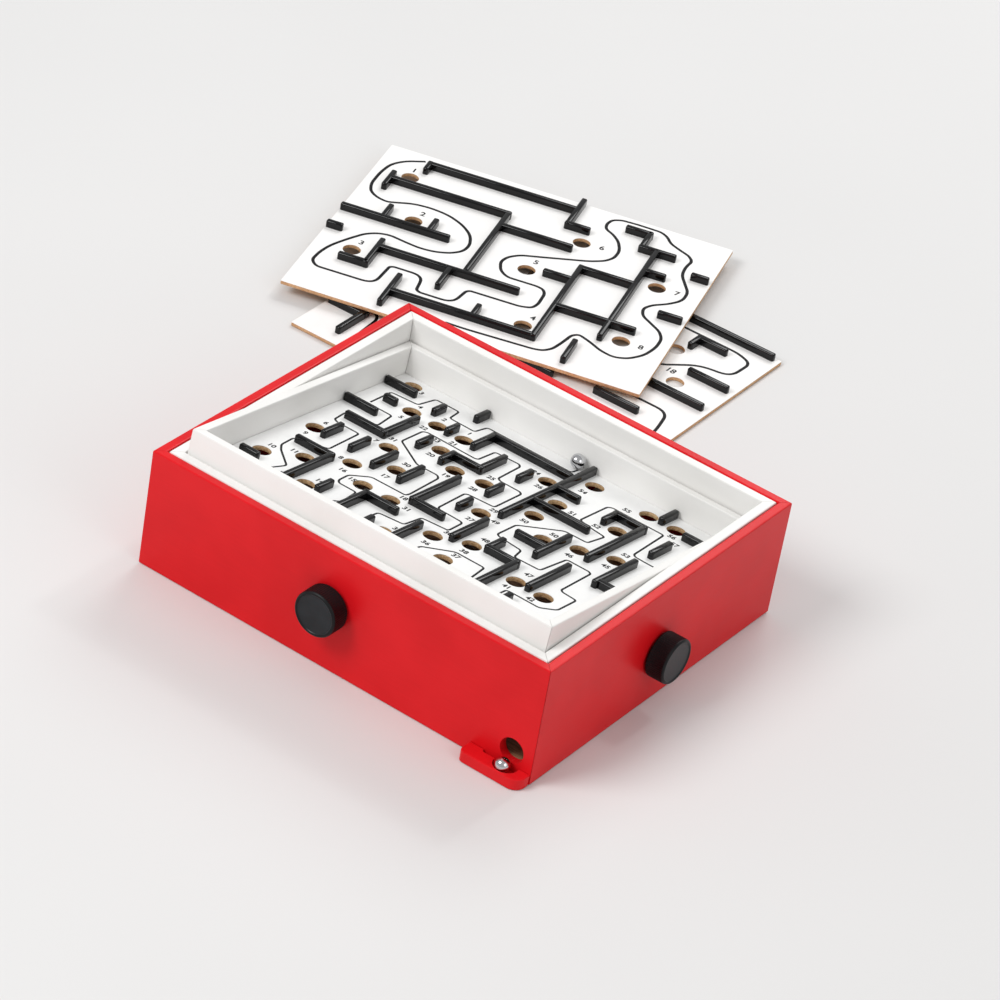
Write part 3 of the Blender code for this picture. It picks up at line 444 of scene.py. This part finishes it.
def pierced_sheet(name, half_x, half_y, holes, low, high, corner=1.0, edge=0.12):
    """A sheet with round holes and slightly broken edges, low to high in millimetres."""
    curve = bpy.data.curves.new(name, "CURVE")
    curve.dimensions = "2D"
    curve.fill_mode = "BOTH"
    curve.extrude = ((high - low) / 2 - edge) * MM
    curve.bevel_depth = edge * MM
    curve.bevel_resolution = 1
    curve.offset = -edge * MM
    outline = []
    for sx, sy, start in ((1, -1, -90), (1, 1, 0), (-1, 1, 90), (-1, -1, 180)):
        for i in range(5):
            turn = math.radians(start + 22.5 * i)
            outline.append((sx * (half_x - corner) + corner * math.cos(turn),
                            sy * (half_y - corner) + corner * math.sin(turn)))
    loops = [outline]
    for x, y in holes:
        loops.append([(x + HOLE_R * math.cos(math.tau * i / 40), y + HOLE_R * math.sin(math.tau * i / 40))
                      for i in range(40)])
    for loop in loops:
        line = curve.splines.new("POLY")
        line.points.add(len(loop) - 1)
        line.use_cyclic_u = True
        for knot, (x, y) in zip(line.points, loop):
            knot.co = (x * MM, y * MM, 0.0, 1.0)
    shape = bpy.data.objects.new(name, curve)
    bpy.context.scene.collection.objects.link(shape)
    mesh = evaluated_mesh(shape)
    mesh.name = name
    bpy.data.objects.remove(shape, do_unlink=True)
    mesh.transform(Matrix.Translation((0, 0, (low + high) / 2 * MM)))
    mesh.shade_smooth()
    mesh.set_sharp_from_angle(angle=math.radians(50))
    return new_object(name, mesh)


def glued_strips(name, uprights, crosses, base):
    """The maze's walls: round-edged strips standing on the board."""
    half = STRIP_W / 2
    boxes = [(x - half, x + half, start, end) for x, start, end in uprights]
    boxes += [(start, end, y - half, y + half) for start, end, y in crosses]
    bm = bmesh.new()
    for index, (x0, x1, y0, y1) in enumerate(boxes):
        top = base + STRIP_H - 0.02 * (index % 5)
        made = bmesh.ops.create_cube(bm, size=1.0)["verts"]
        bmesh.ops.scale(bm, vec=((x1 - x0) * MM, (y1 - y0) * MM, (top - base) * MM), verts=made)
        middle = ((x0 + x1) / 2 * MM, (y0 + y1) / 2 * MM, (base + top) / 2 * MM)
        bmesh.ops.translate(bm, vec=middle, verts=made)
    upper = [e for e in bm.edges if max(v.co.z for v in e.verts) > (base + STRIP_H / 2) * MM]
    bmesh.ops.bevel(bm, geom=upper, offset=1.4 * MM, offset_type="OFFSET", segments=4, profile=0.5,
                    affect="EDGES")
    return from_bmesh(name, bm, 35)


def rounded(points, radius, steps=6):
    """Soften the corners of a line of points."""
    path = [Vector(points[0])]
    for before, here, after in zip(points, points[1:], points[2:]):
        here = Vector(here)
        inward, outward = Vector(before) - here, Vector(after) - here
        reach = min(radius, inward.length * 0.45, outward.length * 0.45)
        start, end = here + inward.normalized() * reach, here + outward.normalized() * reach
        for i in range(steps + 1):
            t = i / steps
            path.append((1 - t) ** 2 * start + 2 * t * (1 - t) * here + t * t * end)
    path.append(Vector(points[-1]))
    return path


def printed_line(name, lines, height, width, bend):
    """A route's printed line: a thin film a hair above the face."""
    bm = bmesh.new()
    for points in lines:
        path = rounded(points, bend)
        pairs = []
        for i, here in enumerate(path):
            run = (path[min(i + 1, len(path) - 1)] - path[max(i - 1, 0)]).normalized()
            side = Vector((-run.y, run.x)) * width / 2
            pairs.append([bm.verts.new(((here + s * side).x * MM, (here + s * side).y * MM, height * MM))
                          for s in (1, -1)])
        for (a, b), (c, d) in zip(pairs, pairs[1:]):
            bm.faces.new((b, d, c, a))
    return from_bmesh(name, bm)


def printed_numbers(name, numbers, height, size):
    """Small printed figures beside the holes, joined into one film."""
    bm = bmesh.new()
    for value, x, y in numbers:
        text = bpy.data.curves.new(name, "FONT")
        text.body = str(value)
        text.size = size * MM
        text.align_x = "CENTER"
        text.align_y = "CENTER"
        text.offset = 0.00024
        text.resolution_u = 3
        shape = bpy.data.objects.new(name, text)
        bpy.context.scene.collection.objects.link(shape)
        mesh = evaluated_mesh(shape)
        mesh.transform(Matrix.Translation((x * MM, y * MM, height * MM)))
        bm.from_mesh(mesh)
        bpy.data.objects.remove(shape, do_unlink=True)
        bpy.data.meshes.remove(mesh)
    return from_bmesh(name, bm)


def ribbed_knob(name, centre, outward):
    """Moulded knob: fine ribs round the rim, rounded lip and a slightly sunk face."""
    ribs, per_rib = 64, 4
    rings = [(4.0, 0.3, 0), (18.0, 0.3, 0), (18.25, 0.9, 0), (18.3, 1.4, 1), (18.3, 13.8, 1),
             (18.2, 14.5, 0), (17.7, 15.4, 0), (16.9, 15.85, 0), (16.2, 15.9, 0), (15.7, 15.6, 0),
             (15.3, 15.15, 0), (8.0, 15.0, 0)]
    bm = bmesh.new()
    count = ribs * per_rib
    loops = []
    for radius, height, cut in rings:
        loop = []
        for i in range(count):
            turn = math.tau * i / count
            depth = 0.45 * (0.5 - 0.5 * math.cos(math.tau * i / per_rib)) * cut
            r = (radius - depth) * MM
            loop.append(bm.verts.new((r * math.cos(turn), r * math.sin(turn), height * MM)))
        loops.append(loop)
    for inner, outer in zip(loops, loops[1:]):
        for i in range(count):
            bm.faces.new((inner[i], inner[(i + 1) % count], outer[(i + 1) % count], outer[i]))
    bm.faces.new(loops[0])
    bm.faces.new(loops[-1])
    for face in bm.faces:
        face.material_index = 1 if face.calc_center_median().z > 14.9 * MM and all(
            v.co.xy.length < 15.8 * MM for v in face.verts) else 0
    made = from_bmesh(name, bm, 40)
    turn = Vector((0, 0, 1)).rotation_difference(Vector(outward)).to_matrix().to_4x4()
    return made, Matrix.Translation(centre) @ turn


def coil_spring(name, node, turns=9):
    """A close wire coil with its end loops turned in, standing where its solid stands."""
    low, high = (Vector(corner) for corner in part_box(node))
    middle = (low + high) / 2
    radius, wire = 1.75, 0.35
    curve = bpy.data.curves.new(name, "CURVE")
    curve.dimensions = "3D"
    curve.bevel_depth = wire * MM
    curve.bevel_resolution = 3
    curve.use_fill_caps = True
    line = curve.splines.new("POLY")
    steps = turns * 16
    line.points.add(steps)
    length = (high.z - low.z) / MM - 2 * wire
    for i in range(steps + 1):
        turn = math.tau * i / 16
        end = min(i, steps - i) / 16
        r = radius * min(1.0, 0.35 + 0.65 * end)
        z = low.z / MM + wire + length * i / steps
        line.points[i].co = (middle.x + r * math.cos(turn) * MM, middle.y + r * math.sin(turn) * MM,
                             z * MM, 1.0)
    made = bpy.data.objects.new(name, curve)
    bpy.context.scene.collection.objects.link(made)
    return made


def steel_ball(name, node):
    """A ball at its solid's place, with the faintest dimpling."""
    low, high = (Vector(corner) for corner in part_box(node))
    bm = bmesh.new()
    bmesh.ops.create_icosphere(bm, subdivisions=4, radius=BALL_R * MM)
    for vert in bm.verts:
        vert.co *= 1.0 - 0.0012 * (math.sin(vert.co.x * 2100) * math.cos(vert.co.y * 1700)) ** 2
    return from_bmesh(name, bm, 60), Matrix.Translation((low + high) / 2)


# ---- The maze board in the inner frame ----------------------------------------------------------
def maze_board():
    """The board in the frame: fibre panel, printed face, strips, route and figures."""
    holes = [(column(number), y) for number, y in HOLES]
    uprights = [(column(number), start, end) for number, start, end in COLUMN_STRIPS]
    panel = pierced_sheet("maze_fibre_panel", *BOARD_HALF, holes, PANEL_LOW, PANEL_HIGH, edge=0.2)
    settle(panel, LEAN, "inner_frame", [FIBRE], "fibreboard", "maze_panel")
    face = pierced_sheet("maze_white_face", *BOARD_HALF, holes, FACE_Z - SHEET_T, FACE_Z)
    settle(face, LEAN, "inner_frame", [FACE], "maze_print", "maze_face")
    strips = glued_strips("maze_strips", uprights, CROSS_STRIPS, FACE_Z - STRIP_SINK)
    settle(strips, LEAN, "inner_frame", [STRIP_BLACK], "maze_print")
    route = printed_line("maze_route", PATHS, FACE_Z + FILM, MAZE_LINE, MAZE_BEND)
    settle(route, LEAN, "inner_frame", [INK], "maze_print")
    figures = printed_numbers("maze_figures", NUMBERS, FACE_Z + FILM, MAZE_TYPE)
    settle(figures, LEAN, "inner_frame", [INK], "maze_print")


def spare_board(prefix, body, node, place, uprights, crosses, holes, numbers, path):
    """A loose board: its panel stands for the solid, and the rest lies on it."""
    x, y, z, turn = place
    matrix = Matrix.Translation((x * MM, y * MM, z * MM)) @ Matrix.Rotation(math.radians(turn), 4, "Z")
    panel = pierced_sheet(prefix + "_panel", *SPARE_HALF, holes, 0.0, SPARE_PANEL_T, edge=0.2)
    settle(panel, matrix, body, [SPARE_EDGE], "spare_board", node)
    # The face takes the lighter copy of the white print, which paints in the stronger light on the loose
    # boards.
    face = pierced_sheet(prefix + "_face", *SPARE_HALF, holes, SPARE_T - SPARE_SHEET_T, SPARE_T)
    settle(face, matrix, body, [LIT_SPARE_FACE], "spare_board")
    strips = glued_strips(prefix + "_strips", uprights, crosses, SPARE_T - STRIP_SINK)
    settle(strips, matrix, body, [STRIP_BLACK], "spare_board")
    route = printed_line(prefix + "_route", [path], SPARE_T + FILM, SPARE_LINE, SPARE_BEND)
    settle(route, matrix, body, [INK], "spare_board")
    figures = printed_numbers(prefix + "_figures", numbers, SPARE_T + FILM, SPARE_TYPE)
    settle(figures, matrix, body, [INK], "spare_board")


maze_board()
spare_board("upper_board", "board_above", "spare_board_upper", UPPER_PLACE, UPPER_UPRIGHTS, UPPER_CROSSES,
            UPPER_HOLES, UPPER_NUMBERS, UPPER_PATH)
spare_board("lower_board", "board_below", "spare_board_lower", LOWER_PLACE, LOWER_UPRIGHTS, LOWER_CROSSES,
            LOWER_HOLES, LOWER_NUMBERS, LOWER_PATH)

# ---- Knobs, balls and springs -------------------------------------------------------------------
for knob, body, seat, outward in (("front_knob", "front_drive", FRONT_KNOB_SEAT, (0, -1, 0)),
                                  ("side_knob", "side_drive", SIDE_KNOB_SEAT, (1, 0, 0))):
    made, place = ribbed_knob(knob + "_ribbed", Vector(seat) * MM, outward)
    settle(made, place, body, [KNOB_RIM, KNOB_FACE], "knob_plastic", knob)
for ball, body in (("maze_ball", "ball_on_maze"), ("tray_ball", "ball_in_tray")):
    made, place = steel_ball(ball + "_polished", ball)
    settle(made, place, body, [ball_steel(ball + "_steel")], "ball_steel", ball)
for spring, body in (("front_string_spring", "outer_frame"), ("side_string_spring", "inner_frame")):
    made = coil_spring(spring + "_coil", spring)
    settle(made, Matrix.Identity(4), body, [drawn_steel(spring + "_wire", "z")], "bright_steel", spring)


# ---- Finishes of the solids that stay -----------------------------------------------------------
def paint_solid(node, finish):
    """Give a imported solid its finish."""
    data = NODES[node].data
    data.materials.clear()
    data.materials.append(finish)


SOLID_FINISHES = {
    "front_wall": RED_X, "back_wall": RED_X, "left_wall": RED_Y, "right_wall": RED_Y, "ball_catcher": RED_X,
    "base_panel": BASE_WOOD, "ball_ramp": RAMP_WOOD, "shaft_post": BATTEN_WOOD}
for side in ("front", "back"):
    SOLID_FINISHES[f"outer_{side}_rail"] = WHITE_X
    SOLID_FINISHES[f"inner_{side}_rail"] = WHITE_X
for side in ("left", "right"):
    SOLID_FINISHES[f"outer_{side}_rail"] = WHITE_Y
    SOLID_FINISHES[f"inner_{side}_rail"] = WHITE_Y
for place in ("left", "middle", "right"):
    SOLID_FINISHES[f"{place}_ramp_batten"] = BATTEN_WOOD
for corner in ("front_left", "front_right", "back_right", "back_left"):
    SOLID_FINISHES[f"board_ledge_{corner}"] = FIBRE
STEEL_X, STEEL_Y, STEEL_Z = (drawn_steel("steel_rod_" + along, along) for along in "xyz")
for node in ("side_shaft", "side_collar", "left_pivot_pin", "right_pivot_pin"):
    SOLID_FINISHES[node] = STEEL_X
for node in ("front_shaft", "front_collar", "front_pivot_pin", "back_pivot_pin"):
    SOLID_FINISHES[node] = STEEL_Y
for node in ("outer_left_anchor", "outer_right_anchor", "inner_front_anchor", "inner_back_anchor"):
    SOLID_FINISHES[node] = STEEL_Z
for node in ("front_bush", "side_bush", "far_bush", "front_left_peg", "front_right_peg", "side_front_peg",
             "side_back_peg"):
    SOLID_FINISHES[node] = NYLON
SOLID_FINISHES["front_string"] = twisted_thread("front_thread", "x")
SOLID_FINISHES["side_string"] = twisted_thread("side_thread", "y")
for node, finish in SOLID_FINISHES.items():
    paint_solid(node, finish)


# ---- Floor, light and camera --------------------------------------------------------------------
def area_light(name, place, aim, size, power):
    """A round white light at place, turned towards aim."""
    data = bpy.data.lights.new(name, "AREA")
    data.shape = "DISK"
    data.size = size
    data.energy = power
    made = bpy.data.objects.new(name, data)
    bpy.context.scene.collection.objects.link(made)
    made.location = place
    made.rotation_euler = (Vector(aim) - Vector(place)).to_track_quat("-Z", "Y").to_euler()


floor_mesh = bpy.data.meshes.new("floor")
FLOOR_REACH, FLOOR_Z = 6.0, -0.0004
floor_corners = [(x * FLOOR_REACH, y * FLOOR_REACH, 0) for x, y in ((-1, -1), (1, -1), (1, 1), (-1, 1))]
floor_mesh.from_pydata(floor_corners, [], [(0, 1, 2, 3)])
floor = new_object("floor", floor_mesh)
floor.location.z = FLOOR_Z
floor_mesh.materials.append(backdrop_paper("floor_paper"))

LIGHTS = {                         # place, aim, size in metres, power in watts
    "key": ((-1.2, -2.0, 2.6), (0, 0.1, 0.05), 1.6, 62),
    "side": ((2.1, -0.5, 1.3), (0, 0, 0.05), 1.6, 8),
    "back": ((-0.5, 2.4, 2.2), (-0.1, 0.3, 0.05), 1.7, 30),
    "glint": ((0.25, 2.3, 2.5), (-0.05, 0.15, 0.06), 0.3, 8)}
for light, settings in LIGHTS.items():
    area_light(light, *settings)
world = bpy.data.worlds.new("studio")
bpy.context.scene.world = world
world.use_nodes = True
world.node_tree.nodes["Background"].inputs["Color"].default_value = (1.0, 1.0, 1.0, 1.0)
world.node_tree.nodes["Background"].inputs["Strength"].default_value = 0.5

AZIMUTH, ELEVATION, ROLL = math.radians(31.15), math.radians(33.57), math.radians(-10.0)
AIM, DISTANCE = Vector((-0.0399, 0.0402, 0.05)), 3.417
LENS, SENSOR = 164.2, 36.0
SHIFT_RIGHT, SHIFT_UP = 0.0447, -0.0112
back = Vector((math.sin(AZIMUTH) * math.cos(ELEVATION), -math.cos(AZIMUTH) * math.cos(ELEVATION),
               math.sin(ELEVATION)))
flat_right = Vector((math.cos(AZIMUTH), math.sin(AZIMUTH), 0.0))
flat_up = back.cross(flat_right)
right = flat_right * math.cos(ROLL) - flat_up * math.sin(ROLL)
up = back.cross(right)
camera = bpy.data.objects.new("camera", bpy.data.cameras.new("camera"))
bpy.context.scene.collection.objects.link(camera)
turn = Matrix((right, up, back)).transposed().to_4x4()
camera.matrix_world = Matrix.Translation(AIM + back * DISTANCE) @ turn
camera.data.sensor_width = SENSOR
camera.data.lens = LENS
camera.data.shift_x = SHIFT_RIGHT
camera.data.shift_y = SHIFT_UP
camera.data.clip_start, camera.data.clip_end = 0.1, 20.0
bpy.context.scene.camera = camera
bpy.context.scene.view_settings.view_transform = "Standard"
